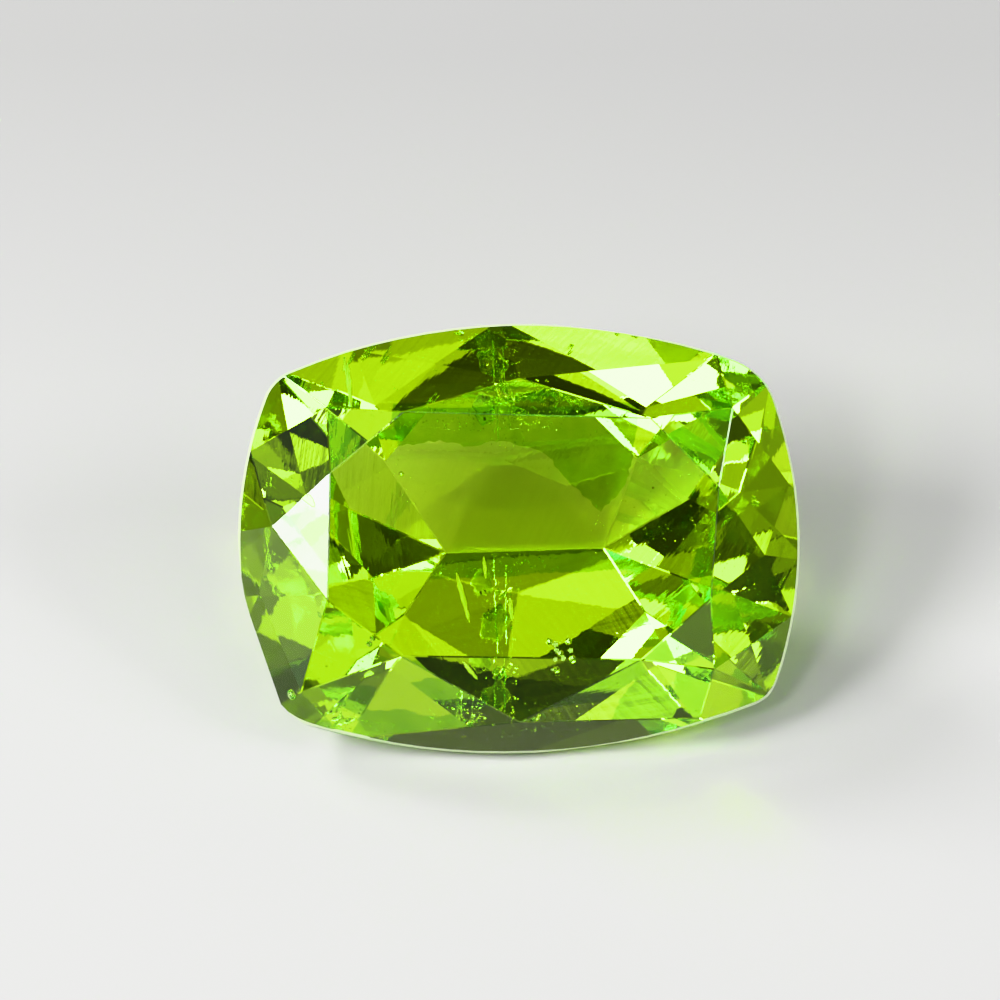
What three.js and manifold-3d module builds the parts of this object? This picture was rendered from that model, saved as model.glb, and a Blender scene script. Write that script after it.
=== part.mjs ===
// A peridot cut as a cushion, 8 by 6 mm: a brilliant crown over a pavilion that ends in a short keel.
// It is ground the way a cutter does it. A blank with the outline of the girdle is made first, and then
// one flat face after another takes a slice off it. The finished stone is laid down on its near
// pavilion face, as a loose stone lies on a table.
// The stone is cut in its own frame: the table faces +Z, the middle of the girdle is at z = 0, the long
// axis is X, and -Y is the side that it lies on. All sizes are in millimetres and angles in degrees.
import * as THREE from "three";
import { mergeVertices } from "three/addons/utils/BufferGeometryUtils.js";
import Module from "manifold-3d";

// How thick the girdle is, how far the table stands above its middle and the keel lies below it
const GIRDLE = 0.3;
const TABLE_HEIGHT = 1.08;
const KEEL_DEPTH = 2.58;

// The outline of the girdle: four long shallow arcs joined by four round corners, slightly uneven. Each
// row gives the middle and the radius of one side's arc, far, right, near and left, and the radius of
// the corner that follows it clockwise.
const SIDES = [
  { x: 0.19, y: -5.68, radius: 8.75, corner: 0.94 },
  { x: -2.26, y: -0.1, radius: 6.27, corner: 0.56 },
  { x: -0.31, y: 6.62, radius: 9.7, corner: 1.08 },
  { x: 1.91, y: -0.05, radius: 5.92, corner: 0.66 },
];
const ARC_STEPS = 16;

// The faces stand in eight directions, clockwise from the far left corner: corner, side, corner, side.
const FAR_LEFT = 0;
const FAR = 1;
const FAR_RIGHT = 2;
const RIGHT = 3;
const NEAR_RIGHT = 4;
const NEAR = 5;
const NEAR_LEFT = 6;
const LEFT = 7;
// In each direction the crown has a star face with its outer tip and slope, and the girdle has a point
// straight out from that tip, where the upper and the lower faces meet.
const DIRECTIONS = [
  { star: [-2.78, 1.77], slope: 16.8, out: [-3.37, 2.26] },
  { star: [-0.04, 2.21], slope: 17.3, out: [-0.29, 3.04] },
  { star: [3.01, 1.84], slope: 17.1, out: [3.5, 2.24] },
  { star: [3.49, -0.25], slope: 29.9, out: [4.07, -0.28] },
  { star: [2.78, -1.9], slope: 17.8, out: [3.52, -2.17] },
  { star: [0.02, -2.68], slope: 21.8, out: [-0.02, -3.01] },
  { star: [-3.09, -2.27], slope: 26.6, out: [-3.38, -2.43] },
  { star: [-3.54, 0.07], slope: 26.9, out: [-4, 0.04] },
];
// Between one direction and the next stand a corner of the table, the foot of its kite on the girdle,
// and below them the fork where the edge between two main faces of the pavilion parts. The first of
// these lies just before the far left corner.
const BETWEEN = [
  { corner: [-2.72, 0.82], foot: [-3.85, 1.18], fork: [-2.41, 0.42] },
  { corner: [-1.68, 1.7], foot: [-2.39, 2.65], fork: [-1.91, 1.12] },
  { corner: [1.83, 1.65], foot: [2.81, 2.59], fork: [1.7, 1.21] },
  { corner: [2.81, 0.69], foot: [3.85, 0.8], fork: [2.44, 0.63] },
  { corner: [2.71, -0.91], foot: [3.91, -1.08], fork: [2.44, -0.53] },
  { corner: [1.73, -1.79], foot: [2.59, -2.57], fork: [1.84, -0.99] },
  { corner: [-1.69, -1.78], foot: [-2.45, -2.91], fork: [-1.61, -1.06] },
  { corner: [-2.74, -1], foot: [-3.7, -0.85], fork: [-2.06, -0.55] },
];

// The two ends of the keel, the slopes of the four main faces along the sides and at the ends of the
// stone, and how far the two at the ends are turned from square
const KEEL = { left: [-1.01, -0.14], right: [1.25, -0.04] };
const MAIN_SLOPE = { far: 37.4, right: 41.4, near: 39, left: 38.4 };
const END_TURN = { right: -2.9, left: 0.1 };

// The blank is this much taller than the stone at either end, and each face is ground off it by taking
// away a block so long that it reaches past the stone on all sides
const SPARE = 0.2;
const BLOCK = 20;

const wasm = await Module();
wasm.setup();

const radians = THREE.MathUtils.degToRad;
const count = DIRECTIONS.length;
const before = (d) => (d + count - 1) % count;
const after = (d) => (d + 1) % count;

const at = ([x, y], z) => new THREE.Vector3(x, y, z);

// Height of a sloping face above the point [x, y]
function heightOn(face, [x, y]) {
  const n = face.normal;
  return -(n.x * x + n.y * y + face.constant) / n.z;
}

const onto = (face, point) => at(point, heightOn(face, point));

// A face through three points, with its outside up on the crown (up = 1) or down (up = -1)
function faceThrough(a, b, c, up) {
  const face = new THREE.Plane().setFromCoplanarPoints(a, b, c);
  return face.normal.z * up < 0 ? face.negate() : face;
}

// A face through a point that falls away from the middle, or for the pavilion rises, towards a bearing
function slopingFace(point, bearing, slope, up) {
  const level = Math.sin(radians(slope));
  const steep = up * Math.cos(radians(slope));
  const normal = new THREE.Vector3(level * Math.cos(bearing), level * Math.sin(bearing), steep);
  return new THREE.Plane().setFromNormalAndCoplanarPoint(normal, point);
}

// Where the middle of a corner's small arc lies, so that it touches the arcs of both its sides
function cornerCentre(a, b, radius) {
  const reachA = a.radius - radius;
  const reachB = b.radius - radius;
  const apart = new THREE.Vector2(b.x - a.x, b.y - a.y);
  const gap = apart.length();
  const along = (reachA ** 2 - reachB ** 2 + gap ** 2) / (2 * gap);
  const aside = Math.sqrt(reachA ** 2 - along ** 2);
  apart.normalize();
  const across = new THREE.Vector2(apart.y, -apart.x);
  return new THREE.Vector2(a.x, a.y).addScaledVector(apart, along).addScaledVector(across, aside);
}

// The girdle's outline, clockwise, as touching arcs
function girdleOutline() {
  const corners = SIDES.map((side, i) => cornerCentre(side, SIDES[(i + 1) % SIDES.length], side.corner));
  const bearing = (from, to) => Math.atan2(to.y - from.y, to.x - from.x);
  const arc = (centre, radius, from, to) => {
    const curve = new THREE.EllipseCurve(centre.x, centre.y, radius, radius, from, to, true);
    return curve.getPoints(ARC_STEPS).slice(1);
  };
  const points = SIDES.flatMap((side, i) => {
    const last = corners[(i + SIDES.length - 1) % SIDES.length];
    const next = corners[i];
    const following = SIDES[(i + 1) % SIDES.length];
    return [
      ...arc(side, side.radius, bearing(side, last), bearing(side, next)),
      ...arc(next, side.corner, bearing(side, next), bearing(following, next)),
    ];
  });
  return new THREE.Shape(points);
}

// A closed geometry as a solid that can be cut, and a solid as a geometry again
function solidOf(geometry) {
  geometry.deleteAttribute("normal");
  geometry.deleteAttribute("uv");
  const merged = mergeVertices(geometry);
  return new wasm.Manifold(
    new wasm.Mesh({
      numProp: 3,
      vertProperties: merged.attributes.position.array,
      triVerts: new Uint32Array(merged.index.array),
    }),
  );
}

function geometryOf(solid) {
  const mesh = solid.getMesh();
  const geometry = new THREE.BufferGeometry();
  geometry.setAttribute("position", new THREE.BufferAttribute(mesh.vertProperties, 3));
  geometry.setIndex(new THREE.BufferAttribute(mesh.triVerts, 1));
  return geometry;
}

// The blank: a straight block with the outline of the girdle, a little taller than the stone
function blank() {
  const depth = TABLE_HEIGHT + KEEL_DEPTH + 2 * SPARE;
  const block = new THREE.ExtrudeGeometry(girdleOutline(), { depth, bevelEnabled: false });
  return solidOf(block.translate(0, 0, -KEEL_DEPTH - SPARE));
}

// Grinds one face: everything outside its plane is taken off
function grind(stone, face) {
  const waste = new THREE.BoxGeometry(BLOCK, BLOCK, BLOCK).translate(0, 0, BLOCK / 2);
  waste.applyQuaternion(new THREE.Quaternion().setFromUnitVectors(new THREE.Vector3(0, 0, 1), face.normal));
  const foot = face.coplanarPoint(new THREE.Vector3());
  return stone.subtract(solidOf(waste.translate(foot.x, foot.y, foot.z)));
}

// The outer tip of each star face, at the height where a face of its slope leads
function starTips() {
  return DIRECTIONS.map(({ star, slope }, d) => {
    const start = new THREE.Vector2(...BETWEEN[d].corner);
    const edge = new THREE.Vector2(...BETWEEN[after(d)].corner).sub(start);
    const reach = Math.abs(edge.cross(new THREE.Vector2(...star).sub(start))) / edge.length();
    return at(star, TABLE_HEIGHT - reach * Math.tan(radians(slope)));
  });
}

// The crown's faces: the table, and for each direction a star, a kite and two upper girdle faces
function crownFaces() {
  const tips = starTips();
  const corners = BETWEEN.map(({ corner }) => at(corner, TABLE_HEIGHT));
  const kites = corners.map((corner, d) => faceThrough(corner, tips[before(d)], tips[d], 1));
  const feet = kites.map((kite, d) => onto(kite, BETWEEN[d].foot));
  const faces = [new THREE.Plane(new THREE.Vector3(0, 0, 1), -TABLE_HEIGHT), ...kites];
  tips.forEach((tip, d) => {
    const rim = at(DIRECTIONS[d].out, GIRDLE / 2);
    faces.push(faceThrough(tip, corners[d], corners[after(d)], 1));
    faces.push(faceThrough(tip, rim, feet[d], 1));
    faces.push(faceThrough(tip, rim, feet[after(d)], 1));
  });
  return faces;
}

// The eight main faces of the pavilion: four from the keel, and the corner ones between their forks
function mainFaces() {
  const left = at(KEEL.left, -KEEL_DEPTH);
  const right = at(KEEL.right, -KEEL_DEPTH);
  const keel = Math.atan2(right.y - left.y, right.x - left.x);
  const mains = [];
  mains[FAR] = slopingFace(left, keel + Math.PI / 2, MAIN_SLOPE.far, -1);
  mains[NEAR] = slopingFace(left, keel - Math.PI / 2, MAIN_SLOPE.near, -1);
  mains[RIGHT] = slopingFace(right, radians(END_TURN.right), MAIN_SLOPE.right, -1);
  mains[LEFT] = slopingFace(left, Math.PI + radians(END_TURN.left), MAIN_SLOPE.left, -1);
  const corner = (d, end) => {
    const first = onto(mains[before(d)], BETWEEN[d].fork);
    const second = onto(mains[after(d)], BETWEEN[after(d)].fork);
    mains[d] = faceThrough(end, first, second, -1);
  };
  corner(FAR_LEFT, left);
  corner(FAR_RIGHT, right);
  corner(NEAR_RIGHT, right);
  corner(NEAR_LEFT, left);
  return mains;
}

// The pavilion's faces: the mains, and two lower girdle faces in each gap between them
function pavilionFaces() {
  const mains = mainFaces();
  const faces = [...mains];
  BETWEEN.forEach(({ foot, fork }, d) => {
    const start = onto(mains[d], fork);
    const rim = at(foot, -GIRDLE / 2);
    faces.push(faceThrough(start, rim, onto(mains[before(d)], DIRECTIONS[before(d)].out), -1));
    faces.push(faceThrough(start, rim, onto(mains[d], DIRECTIONS[d].out), -1));
  });
  return faces;
}

const green = new THREE.MeshStandardMaterial({ color: 0x84b81c, roughness: 0.04, metalness: 0 });

// Turns the stone so that the main face it lies on is level underneath, and centres it over the origin
function laidDown(geometry, face) {
  const down = new THREE.Vector3(0, 0, -1);
  geometry.applyQuaternion(new THREE.Quaternion().setFromUnitVectors(face.normal, down));
  geometry.computeBoundingBox();
  const { min, max } = geometry.boundingBox;
  return geometry.translate(-(min.x + max.x) / 2, -(min.y + max.y) / 2, -min.z);
}

const stone = [...crownFaces(), ...pavilionFaces()].reduce(grind, blank());
const peridot = new THREE.Mesh(laidDown(geometryOf(stone), mainFaces()[NEAR]), green);
peridot.name = "peridot";

const part = new THREE.Group();
part.add(peridot);
export default part;
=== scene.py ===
import bmesh
import bpy
import math
import random
from mathutils import Matrix, Vector


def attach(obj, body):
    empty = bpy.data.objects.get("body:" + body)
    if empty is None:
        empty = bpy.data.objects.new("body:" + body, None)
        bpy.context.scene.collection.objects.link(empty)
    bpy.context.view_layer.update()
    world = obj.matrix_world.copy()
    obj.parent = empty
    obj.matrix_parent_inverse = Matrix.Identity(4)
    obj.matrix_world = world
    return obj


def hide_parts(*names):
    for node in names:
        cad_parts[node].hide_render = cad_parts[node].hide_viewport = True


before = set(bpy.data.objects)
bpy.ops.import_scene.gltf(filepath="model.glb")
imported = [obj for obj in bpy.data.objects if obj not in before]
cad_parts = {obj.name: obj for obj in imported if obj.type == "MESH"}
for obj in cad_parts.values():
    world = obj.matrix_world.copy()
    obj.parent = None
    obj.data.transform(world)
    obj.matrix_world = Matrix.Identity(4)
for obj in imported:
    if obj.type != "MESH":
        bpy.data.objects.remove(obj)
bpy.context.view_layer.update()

# The stone
# One clear crystal of peridot, sawn, ground and polished with flat faces. Iron colours it yellowish green.
# Its sharp edges are worn by handling to a hair's breadth. Its girdle, the band round its widest part, is
# left matt from the grinding, and the girdle's edge towards the table is finely chipped.
MM = 0.001
PERIDOT_INDEX = 1.67
LIGHT_LEFT_AFTER_1_MM = (0.953, 0.988, 0.62)
POLISHED_TINT = (0.76, 1, 0.42, 1)
GROUND_TINT = (0.9, 1, 0.7, 1)
TABLE_FACES = Vector((0.0278, -0.6287, 0.7771))
WELD = 0.002 * MM
SAME_FACE = math.radians(0.4)
SHARP_EDGE = math.radians(12)
GIRDLE_LEAN = 0.2
EDGE_WEAR = 0.012 * MM
GIRDLE_WEAR = 0.045 * MM
CUT_SNAP = 0.0002 * MM
# The fourth finish is painted shade, on a tinted leaf inside the stone
POLISHED, GROUND, CHIPPED, PAINTED_SHADE_LEAF = range(4)

shape = bmesh.new()
shape.from_mesh(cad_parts["peridot"].data)
bmesh.ops.remove_doubles(shape, verts=shape.verts, dist=WELD)
bmesh.ops.dissolve_limit(shape, angle_limit=SAME_FACE, verts=shape.verts, edges=shape.edges)


def on_girdle(face):
    return abs(face.normal.dot(TABLE_FACES)) < GIRDLE_LEAN


# Wear leaves a narrow flat on an edge. It leans halfway between the two faces which meet there.
def worn_flat(edge, width):
    outward = sum((face.normal for face in edge.link_faces), Vector()).normalized()
    depth = width * math.sin(edge.calc_face_angle() / 2)
    return outward, outward.dot(edge.verts[0].co + edge.verts[1].co) / 2 - depth


def cut_off(outward, reach, finish):
    cut = bmesh.ops.bisect_plane(
        shape,
        geom=shape.verts[:] + shape.edges[:] + shape.faces[:],
        dist=CUT_SNAP,
        plane_co=outward * reach,
        plane_no=outward,
        clear_outer=True,
    )["geom_cut"]
    rim = [item for item in cut if isinstance(item, bmesh.types.BMEdge)]
    if rim:
        bmesh.ops.edgeloop_fill(shape, edges=rim, mat_nr=finish)


girdle_flats = []
facet_flats = []
for edge in shape.edges:
    girdle_sides = sum(on_girdle(face) for face in edge.link_faces)
    if girdle_sides == 1:
        girdle_flats.append(worn_flat(edge, GIRDLE_WEAR))
    elif girdle_sides == 0 and edge.calc_face_angle() > SHARP_EDGE:
        facet_flats.append(worn_flat(edge, EDGE_WEAR))
for face in shape.faces:
    face.material_index = GROUND if on_girdle(face) else POLISHED
for outward, reach in girdle_flats:
    cut_off(outward, reach, CHIPPED if outward.dot(TABLE_FACES) > 0 else GROUND)
for outward, reach in facet_flats:
    cut_off(outward, reach, POLISHED)
bmesh.ops.recalc_face_normals(shape, faces=shape.faces)

# The crystal has hollow flaws. Their walls are part of the stone's skin and face into the hollow. A tube is
# a thin needle, a crack is a bent leaf with a ragged edge, and a veil is a sheet of tiny bubbles.
TUBE_TAPER = 0.6
CRACK_HALF_THICKNESS = 0.006
CRACK_RAGGED = 0.12
CRACK_LOBES = 5
CRACK_TURN_PER_MM = 40
VEIL_WAVE = 0.04
VEIL_WAVES_ALONG = 9
VEIL_WAVES_ACROSS = 5
chance = random.Random(5)


def turned_to(way):
    return way.to_track_quat("Z", "Y").to_matrix().to_4x4()


def hollow(made, place):
    for vert in made:
        vert.co = place @ vert.co
    walls = {face for vert in made for face in vert.link_faces}
    bmesh.ops.reverse_faces(shape, faces=list(walls))


def tube(start, end, radius):
    start = Vector(start) * MM
    along = Vector(end) * MM - start
    made = bmesh.ops.create_cone(
        shape,
        cap_ends=True,
        segments=6,
        radius1=radius * MM,
        radius2=TUBE_TAPER * radius * MM,
        depth=along.length,
    )["verts"]
    hollow(made, Matrix.Translation(start + along / 2) @ turned_to(along))


def crack(middle, facing, width, length, bend=0.15):
    made = bmesh.ops.create_icosphere(shape, subdivisions=3, radius=1)["verts"]
    for vert in made:
        x, y, z = vert.co
        ragged = 1 + CRACK_RAGGED * math.sin(CRACK_LOBES * math.atan2(y, x) + CRACK_TURN_PER_MM * middle[0])
        rise = CRACK_HALF_THICKNESS * z + bend * width * x * x
        vert.co = Vector((x * width * ragged, y * length * ragged, rise)) * MM
    hollow(made, Matrix.Translation(Vector(middle) * MM) @ turned_to(Vector(facing)))


def bead(middle, radius, roundness=2):
    made = bmesh.ops.create_icosphere(shape, subdivisions=roundness, radius=radius * MM)["verts"]
    hollow(made, Matrix.Translation(Vector(middle) * MM))


def veil(corner, side, other_side, count, smallest, largest):
    upright = Vector(side).cross(Vector(other_side)).normalized()
    for _ in range(count):
        a = chance.random()
        b = chance.random()
        wave = VEIL_WAVE * math.sin(VEIL_WAVES_ALONG * a + VEIL_WAVES_ACROSS * b)
        middle = Vector(corner) + Vector(side) * a + Vector(other_side) * b
        middle += upright * wave
        bead(middle, chance.uniform(smallest, largest), 1)


# Across the middle of the table's far edge, along that edge, and under the table's right part
veil((-0.52, 2.05, 3.68), (0.5, -0.05, 0.02), (0.1, -1.35, -0.45), 170, 0.006, 0.014)
veil((-1.78, 0.76, 3.53), (2.36, 0.02, -0.06), (0.1, 0.25, 0.06), 150, 0.006, 0.015)
veil((1.0, 0.86, 3.42), (1.7, 0.08, -0.2), (0.0, -1.4, -1.15), 150, 0.005, 0.012)
# Under the table's left part, near the stone's front edge, and in its right end
veil((-2.47, 0.49, 3.35), (1.2, 0.03, 0.03), (-0.03, -1.0, -0.76), 40, 0.004, 0.009)
veil((-1.26, -2.08, 1.0), (2.4, 0.01, -0.01), (0.0, -0.1, -0.6), 60, 0.006, 0.016)
veil((2.81, -0.66, 2.33), (0.8, 0.4, -0.45), (0.0, -0.85, -0.95), 50, 0.005, 0.011)
tube((-0.36, 2.1, 3.84), (-0.3, 0.75, 3.34), 0.012)
tube((-0.22, 2.0, 3.8), (-0.14, 0.9, 3.4), 0.008)
# Single bubbles on the left, and rough ones round the pale grains near the table's front edge
bead((-2.063, -1.732, 1.887), 0.042)
bead((-2.11, -1.78, 1.82), 0.045)
bead((-2.006, -1.882, 1.65), 0.036)
bead((-1.686, 0.501, 2.866), 0.04)
bead((-3.21, -1.922, 0.905), 0.07)
bead((0.429, -1.78, 1.845), 0.055, 1)
bead((0.587, -1.911, 1.733), 0.055, 1)
bead((0.701, -1.775, 1.839), 0.055, 1)
bead((0.53, -2.037, 1.555), 0.055, 1)
bead((0.759, -1.96, 1.68), 0.055, 1)
# Three small upright cracks and two nearly level with the table, just past the middle of its far edge
crack((-0.297, 1.266, 3.649), (0.8, -0.5, 0.35), 0.035, 0.13)
crack((-0.209, 1.303, 3.641), (0.75, -0.55, 0.4), 0.045, 0.16)
crack((-0.096, 1.249, 3.562), (0.85, -0.4, 0.3), 0.03, 0.12)
crack((-0.5, 1.12, 3.53), (0.1, -0.6, 0.75), 0.16, 0.2, 0.05)
crack((-0.36, 1.7, 3.7), (0.3, -0.4, 0.8), 0.2, 0.3, 0.1)

# One flat leaf, below the far half of the table, is tinted brown to darken what is seen through it: painted
# shade for the card's shadow seen through the stone
SHADE_LEAF_EDGE = (
    (-1.785, 0.97, 3.7),
    (-1.74, 0.58, 3.382),
    (-1.138, 0.648, 3.415),
    (-0.679, 0.589, 3.352),
    (-0.206, 0.677, 3.405),
    (0.368, 0.542, 3.276),
    (0.755, 0.181, 2.97),
    (1.156, -0.091, 2.736),
    (1.472, 0.15, 2.919),
    (1.615, 0.511, 3.206),
    (1.69, 1.05, 3.64),
)
SHADE_LEAF_EDGE_STEPS = 8
SHADE_LEAF_RAGGED = 0.025 * MM
SHADE_LEAF_THICKNESS = 0.01 * MM

rim = []
for number, corner in enumerate(SHADE_LEAF_EDGE):
    start = Vector(corner) * MM
    along = Vector(SHADE_LEAF_EDGE[(number + 1) % len(SHADE_LEAF_EDGE)]) * MM - start
    sideways = along.cross(TABLE_FACES).normalized()
    for step in range(SHADE_LEAF_EDGE_STEPS):
        point = start + along * step / SHADE_LEAF_EDGE_STEPS
        rim.append(shape.verts.new(point + sideways * chance.uniform(-SHADE_LEAF_RAGGED, SHADE_LEAF_RAGGED)))
leaf = shape.faces.new(rim)
under = bmesh.ops.extrude_face_region(shape, geom=[leaf])["geom"]
under = [item for item in under if isinstance(item, bmesh.types.BMVert)]
bmesh.ops.translate(shape, verts=under, vec=-TABLE_FACES * SHADE_LEAF_THICKNESS)
walls = list({face for vert in rim + under for face in vert.link_faces})
bmesh.ops.recalc_face_normals(shape, faces=walls)
bmesh.ops.reverse_faces(shape, faces=walls)
for face in walls:
    face.material_index = PAINTED_SHADE_LEAF

mesh = bpy.data.meshes.new("faceted_stone")
shape.to_mesh(mesh)
shape.free()
stone = bpy.data.objects.new("faceted_stone", mesh)
bpy.context.scene.collection.objects.link(stone)

crystal = bpy.data.materials.new("peridot crystal")
crystal.use_nodes = True
nodes = crystal.node_tree.nodes
links = crystal.node_tree.links
surface = nodes["Principled BSDF"]
surface.inputs["Base Color"].default_value = POLISHED_TINT
surface.inputs["Transmission Weight"].default_value = 1
surface.inputs["Roughness"].default_value = 0.0
surface.inputs["IOR"].default_value = PERIDOT_INDEX
# The volume shader takes how fast each colour is lost on its way, per metre
loss = [-math.log(left) / MM for left in LIGHT_LEFT_AFTER_1_MM]
body = nodes.new("ShaderNodeVolumeAbsorption")
body.inputs["Density"].default_value = max(loss)
body.inputs["Color"].default_value = [1 - part / max(loss) for part in loss] + [1]
links.new(body.outputs["Volume"], nodes["Material Output"].inputs["Volume"])

# Each polished face keeps the fine straight lines of its own polishing, and is a little wavy
LAP_LEANS = (0.35, 0.12, 0.93)
LINE_STRETCH = 0.06
FACE_SHIFT = (0.011, 0.017, 0.007)
LINES_PER_MM = 11
LINE_DEPTH = 0.0007 * MM
WAVES_PER_MM = 0.9
WAVE_DEPTH = 0.0016 * MM
place = nodes.new("ShaderNodeTexCoord").outputs["Object"]
facing = nodes.new("ShaderNodeNewGeometry").outputs["True Normal"]


def vector_step(operation, first, second):
    step = nodes.new("ShaderNodeVectorMath")
    step.operation = operation
    links.new(first, step.inputs[0])
    if isinstance(second, tuple):
        step.inputs[1].default_value = second
    elif isinstance(second, float):
        step.inputs["Scale"].default_value = second
    else:
        links.new(second, step.inputs[1])
    return step.outputs["Value" if operation == "DOT_PRODUCT" else "Vector"]


def noise(where, per_mm, detail):
    pattern = nodes.new("ShaderNodeTexNoise")
    pattern.inputs["Scale"].default_value = per_mm / MM
    pattern.inputs["Detail"].default_value = detail
    links.new(where, pattern.inputs["Vector"])
    return pattern.outputs["Fac"]


across = vector_step("CROSS_PRODUCT", facing, LAP_LEANS)
along = vector_step("CROSS_PRODUCT", facing, across)
grain = nodes.new("ShaderNodeCombineXYZ")
links.new(vector_step("DOT_PRODUCT", place, across), grain.inputs["X"])
links.new(vector_step("DOT_PRODUCT", vector_step("SCALE", place, LINE_STRETCH), along), grain.inputs["Y"])
links.new(vector_step("DOT_PRODUCT", facing, FACE_SHIFT), grain.inputs["Z"])
wavy = nodes.new("ShaderNodeBump")
wavy.inputs["Distance"].default_value = WAVE_DEPTH
links.new(noise(place, WAVES_PER_MM, detail=1), wavy.inputs["Height"])
lined = nodes.new("ShaderNodeBump")
lined.inputs["Distance"].default_value = LINE_DEPTH
links.new(noise(grain.outputs["Vector"], LINES_PER_MM, detail=2), lined.inputs["Height"])
links.new(wavy.outputs["Normal"], lined.inputs["Normal"])
links.new(lined.outputs["Normal"], surface.inputs["Normal"])
mesh.materials.append(crystal)

for name, roughness, see_through in (("ground peridot", 0.3, 1), ("chipped peridot edge", 0.5, 0.3)):
    finish = crystal.copy()
    finish.name = name
    surface = finish.node_tree.nodes["Principled BSDF"]
    surface.inputs["Base Color"].default_value = GROUND_TINT
    surface.inputs["Roughness"].default_value = roughness
    surface.inputs["Transmission Weight"].default_value = see_through
    mesh.materials.append(finish)

# The painted shade is deep brown in some spots and almost clear in others
PAINTED_SHADE_DEEP = (0.3, 0.52, 0.08, 1)
PAINTED_SHADE_FAINT = (0.72, 0.88, 0.4, 1)
PAINTED_SHADE_SPOTS_PER_MM = 2.5
shade_film = bpy.data.materials.new("painted shade film")
shade_film.use_nodes = True
nodes = shade_film.node_tree.nodes
links = shade_film.node_tree.links
surface = nodes["Principled BSDF"]
surface.inputs["Transmission Weight"].default_value = 1
surface.inputs["Roughness"].default_value = 0.0
surface.inputs["IOR"].default_value = 1.0
shade = nodes.new("ShaderNodeMix")
shade.data_type = "RGBA"
shade.inputs["A"].default_value = PAINTED_SHADE_DEEP
shade.inputs["B"].default_value = PAINTED_SHADE_FAINT
place = nodes.new("ShaderNodeTexCoord").outputs["Object"]
spots = noise(place, PAINTED_SHADE_SPOTS_PER_MM, detail=5)
links.new(spots, shade.inputs["Factor"])
links.new(shade.outputs["Result"], surface.inputs["Base Color"])
mesh.materials.append(shade_film)
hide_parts("peridot")
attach(stone, "root")

# The specks
# Grains of black chromite, and pale grains and needles of other minerals. The peridot closed round them as
# it grew, so each lies wholly inside it and nothing else holds it.
# A grain is a middle and a radius in millimetres, and a needle is its two ends and a radius.
BLACK_GRAINS = (
    ((-0.523, 1.265, 3.54), 0.022),
    ((-0.468, 1.238, 3.573), 0.024),
    ((-0.497, 1.01, 3.482), 0.034),
    ((1.904, 0.027, 3.104), 0.02),
    ((-0.43, 1.5, 3.62), 0.015),
)
PALE_GRAINS = (
    ((0.515, -1.832, 1.839), 0.05),
    ((0.53, -1.899, 1.784), 0.045),
    ((0.63, -1.978, 1.716), 0.04),
    ((0.73, -1.895, 1.78), 0.045),
    ((0.516, -1.987, 1.705), 0.035),
    ((0.473, -2.061, 1.575), 0.025),
)
PALE_NEEDLES = (
    ((-2.462, 1.954, 3.679), (-2.371, 0.959, 3.649), 0.035),
    ((-0.898, -0.58, 1.964), (-0.711, -1.135, 1.508), 0.035),
    ((-0.511, -0.393, 2.101), (-0.482, -0.639, 1.901), 0.024),
    ((-0.137, -0.911, 1.797), (-0.108, -1.168, 1.589), 0.03),
    ((-0.807, -1.69, 1.427), (-0.592, -1.818, 1.188), 0.03),
)
BLACK = (0.02, 0.016, 0.008, 1)
PALE_GREEN = (0.9, 1, 0.8, 1)
PALE_YELLOW = (0.85, 1, 0.2, 1)
GRAIN_SIZE = 0.8
GRAIN_LUMP = 0.3
GRAIN_LUMPS = 7
GRAIN_TURN_PER_MM = 30
NEEDLE_SWELL = 0.25
NEEDLE_SWELLS = 11
NEEDLE_NOTCH = 0.15
NEEDLE_NOTCHES = 31
NOTCHES_START = 2


def grow_grain(specks, middle, radius):
    for vert in bmesh.ops.create_icosphere(specks, subdivisions=2, radius=radius * MM)["verts"]:
        lump = math.sin(GRAIN_LUMPS * vert.co.x / (radius * MM) + GRAIN_TURN_PER_MM * middle[0])
        vert.co = vert.co * (GRAIN_SIZE + GRAIN_LUMP * lump) + Vector(middle) * MM


def grow_needle(specks, start, end, radius):
    along = (Vector(end) - Vector(start)) * MM
    turn = along.to_track_quat("Z", "Y").to_matrix()
    for vert in bmesh.ops.create_icosphere(specks, subdivisions=3, radius=1)["verts"]:
        x, y, z = vert.co
        uneven = 1 + NEEDLE_SWELL * math.sin(NEEDLE_SWELLS * z)
        uneven += NEEDLE_NOTCH * math.sin(NEEDLE_NOTCHES * z + NOTCHES_START)
        vert.co = turn @ Vector((x * radius * uneven * MM, y * radius * uneven * MM, z * along.length / 2))
        vert.co += (Vector(start) + Vector(end)) * MM / 2


def enclose(name, grow, places, colour, roughness):
    specks = bmesh.new()
    for place in places:
        grow(specks, *place)
    skin = bpy.data.meshes.new(name)
    specks.to_mesh(skin)
    specks.free()
    piece = bpy.data.objects.new(name, skin)
    bpy.context.scene.collection.objects.link(piece)
    mineral = bpy.data.materials.new(name + " mineral")
    mineral.use_nodes = True
    surface = mineral.node_tree.nodes["Principled BSDF"]
    surface.inputs["Base Color"].default_value = colour
    surface.inputs["Roughness"].default_value = roughness
    skin.materials.append(mineral)
    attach(piece, "root")


enclose("chromite_grains", grow_grain, BLACK_GRAINS, BLACK, roughness=0.3)
enclose("pale_grains", grow_grain, PALE_GRAINS, PALE_GREEN, roughness=0.25)
enclose("pale_needles", grow_needle, PALE_NEEDLES, PALE_YELLOW, roughness=0.25)

# The ground
# A sheet of matt white card, which the stone lies on with a hair's breadth of air between them. The card's
# colour is painted darker from below the stone towards the back: painted shade where less light falls.
CARD_SIZE = 1.2
CARD_ROUGHNESS = 0.9
AIR_GAP = 0.02 * MM
FRONT_LIT_TONE = (0.48, 0.48, 0.476, 1)
BACK_SHADED_TONE = (0.372, 0.371, 0.367, 1)
BACK_SHADED_TONE_REACHED = 12 * MM

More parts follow.
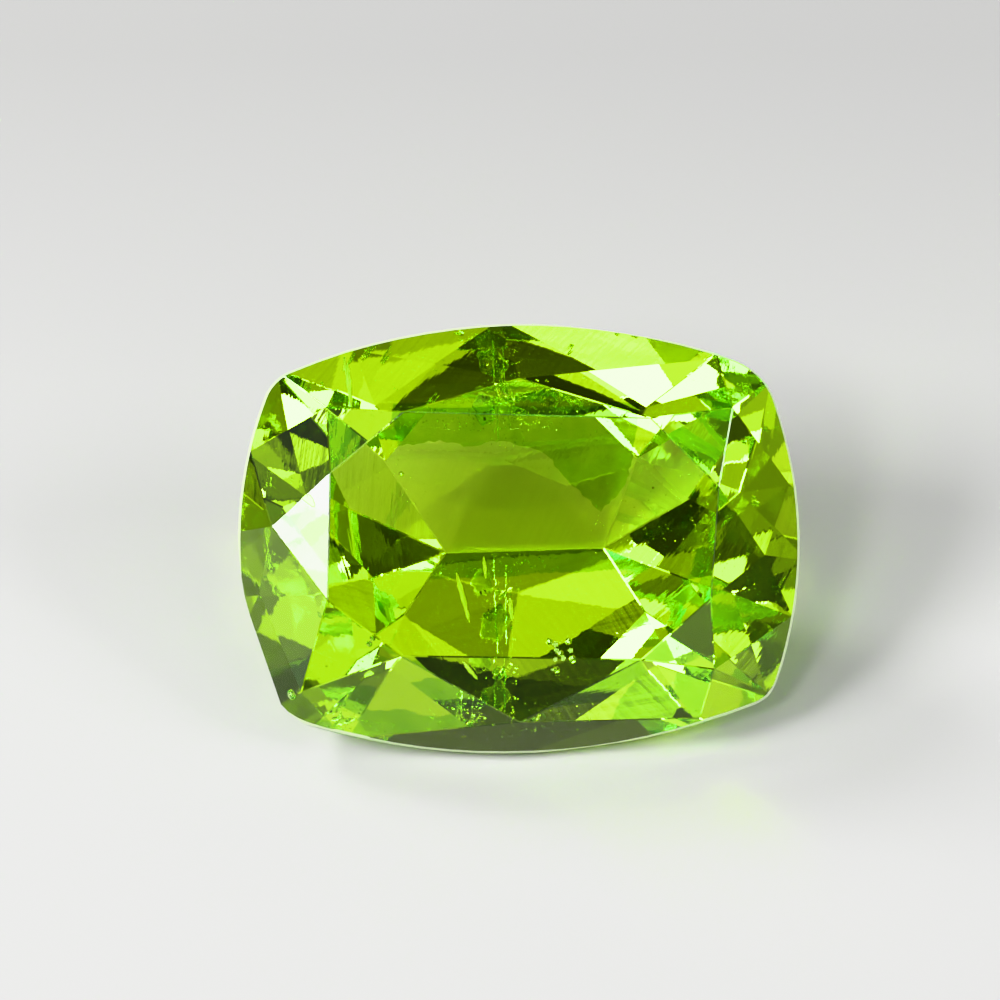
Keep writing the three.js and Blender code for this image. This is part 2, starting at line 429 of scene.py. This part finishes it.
bpy.ops.mesh.primitive_plane_add(size=CARD_SIZE, location=(0, 0, -AIR_GAP))
ground = bpy.context.object
ground.name = "ground"
card = bpy.data.materials.new("white card")
card.use_nodes = True
nodes = card.node_tree.nodes
links = card.node_tree.links
surface = nodes["Principled BSDF"]
surface.inputs["Roughness"].default_value = CARD_ROUGHNESS
spot = nodes.new("ShaderNodeSeparateXYZ")
links.new(nodes.new("ShaderNodeTexCoord").outputs["Object"], spot.inputs["Vector"])
further = nodes.new("ShaderNodeMapRange")
further.inputs["From Min"].default_value = 0
further.inputs["From Max"].default_value = BACK_SHADED_TONE_REACHED
links.new(spot.outputs["Y"], further.inputs["Value"])
# Painted shade: the card's colour darkens towards the back
tone = nodes.new("ShaderNodeMix")
tone.data_type = "RGBA"
tone.inputs["A"].default_value = FRONT_LIT_TONE
tone.inputs["B"].default_value = BACK_SHADED_TONE
links.new(further.outputs["Result"], tone.inputs["Factor"])
links.new(tone.outputs["Result"], surface.inputs["Base Color"])
ground.data.materials.append(card)

# The light
# Four round soft lamps stand outside a tent of white cloth: on the left, on the right, in front and at the
# back. The cloth glows unevenly, more where light falls on it and less in its folds.
STONE_MIDDLE = Vector((0, 0, 1.9)) * MM
LAMP_DISTANCE = 160 * MM


def direction(azimuth, elevation):
    turn = math.radians(azimuth)
    rise = math.radians(elevation)
    return Vector((math.cos(turn) * math.cos(rise), math.sin(turn) * math.cos(rise), math.sin(rise)))


def soft_lamp(name, azimuth, elevation, spread, radiance):
    away = direction(azimuth, elevation)
    radius = LAMP_DISTANCE * math.tan(math.radians(spread))
    light = bpy.data.lights.new(name, "AREA")
    light.shape = "DISK"
    light.size = 2 * radius
    light.energy = radiance * math.pi * math.pi * radius**2
    lamp = bpy.data.objects.new(name, light)
    lamp.location = STONE_MIDDLE + away * LAMP_DISTANCE
    lamp.rotation_euler = away.to_track_quat("Z", "Y").to_euler()
    bpy.context.scene.collection.objects.link(lamp)


soft_lamp("left lamp", 199, 40, 11.5, 26)
soft_lamp("right lamp", 347, 36, 10.4, 13)
soft_lamp("front lamp", 243, 47, 5.5, 30)
soft_lamp("back lamp", 138, 36, 9.5, 21)

# The cloth glows faintly, least at the top, and has brighter and darker patches. They were worked back from
# what the stone's faces mirror and let through. A patch is the azimuth and elevation of its middle, the
# angles from there at which it starts to fade and is gone, all in degrees, and its light.
WHOLE_TENT = (0, 90, 40, 92)
TOP_GLOW = 0.05
EDGE_GLOW = 0.23
BRIGHT_PATCHES = (
    (224, 51, 1.3, 30, 1.44),
    (312, 31, 9.2, 26, 0.99),
    (253, 74, 4.1, 12.7, 0.91),
    (187, 22, 8.2, 23.5, 0.62),
    (16, 88, 15.2, 37.1, 0.12),
    (291, 69, 14.4, 17.8, 0.17),
    (260, 25, 15.4, 33.2, 0.19),
    (348, 70, 20.3, 23.2, 0.14),
    (188, 5, 8.5, 15.2, 1.15),
    (243, 51, 6, 12, 1.7),
    (249, 57, 2.5, 6.5, 2.8),
    (262, 64, 3, 9, 0.75),
    (300, 50, 3, 12, 0.5),
    (296, 65, 3, 9, 0.3),
)
# The light of a darker patch is the share that it leaves of the light there
DARK_PATCHES = (
    (260, 40, 7, 11, 0.12),
    (302, 84, 4.8, 14.7, 0.38),
    (264, 57, 13.9, 14.9, 0.66),
    (182, 75, 6.9, 18, 0.71),
    (239, 35, 9, 12.6, 0.42),
    (280, 53, 6, 11, 0.35),
    (247, 30, 6, 12, 0.15),
)

tent = bpy.data.worlds.new("light tent")
tent.use_nodes = True
nodes = tent.node_tree.nodes
links = tent.node_tree.links
nodes["Background"].inputs["Color"].default_value = (1, 1, 1, 1)
looking = nodes.new("ShaderNodeTexCoord").outputs["Object"]


def patch_of_cloth(azimuth, elevation, inner, outer, middle, outside):
    toward = vector_step("DOT_PRODUCT", looking, tuple(direction(azimuth, elevation)))
    fade = nodes.new("ShaderNodeMapRange")
    fade.interpolation_type = "SMOOTHSTEP"
    fade.inputs["From Min"].default_value = math.cos(math.radians(outer))
    fade.inputs["From Max"].default_value = math.cos(math.radians(inner))
    fade.inputs["To Min"].default_value = outside
    fade.inputs["To Max"].default_value = middle
    links.new(toward, fade.inputs["Value"])
    return fade.outputs["Result"]


def joined(operation, first, second):
    both = nodes.new("ShaderNodeMath")
    both.operation = operation
    links.new(first, both.inputs[0])
    links.new(second, both.inputs[1])
    return both.outputs["Value"]


glow = patch_of_cloth(*WHOLE_TENT, TOP_GLOW, EDGE_GLOW)
for bright in BRIGHT_PATCHES:
    glow = joined("ADD", glow, patch_of_cloth(*bright, 0))
for dark in DARK_PATCHES:
    glow = joined("MULTIPLY", glow, patch_of_cloth(*dark, 1))
links.new(glow, nodes["Background"].inputs["Strength"])
bpy.context.scene.world = tent

# The camera
# A long lens in front of the stone, 46.5 degrees above the ground. It is so far off that the stone's far
# side looks almost as long as its near side.
VIEW_WIDTH = 14.337 * MM
SENSOR_WIDTH = 36
CAMERA_DISTANCE = 200 * MM
CAMERA_RISE = math.radians(46.5)
AIM = Vector((-0.27, 0.94, 1.9)) * MM

lens = bpy.data.cameras.new("camera")
lens.sensor_width = SENSOR_WIDTH
lens.lens = SENSOR_WIDTH * CAMERA_DISTANCE / VIEW_WIDTH
lens.clip_start = 10 * MM
lens.clip_end = 2
camera = bpy.data.objects.new("camera", lens)
back = Vector((0, -math.cos(CAMERA_RISE), math.sin(CAMERA_RISE)))
camera.location = AIM + back * CAMERA_DISTANCE
camera.rotation_euler = back.to_track_quat("Z", "Y").to_euler()
bpy.context.scene.collection.objects.link(camera)
bpy.context.scene.camera = camera
bpy.context.scene.view_settings.view_transform = "Khronos PBR Neutral"
# Light turns back inside the stone many times before it comes out
cycles = bpy.context.scene.cycles
cycles.max_bounces = 24
cycles.glossy_bounces = 20
cycles.transmission_bounces = 20
cycles.sample_clamp_indirect = 0
cycles.blur_glossy = 0
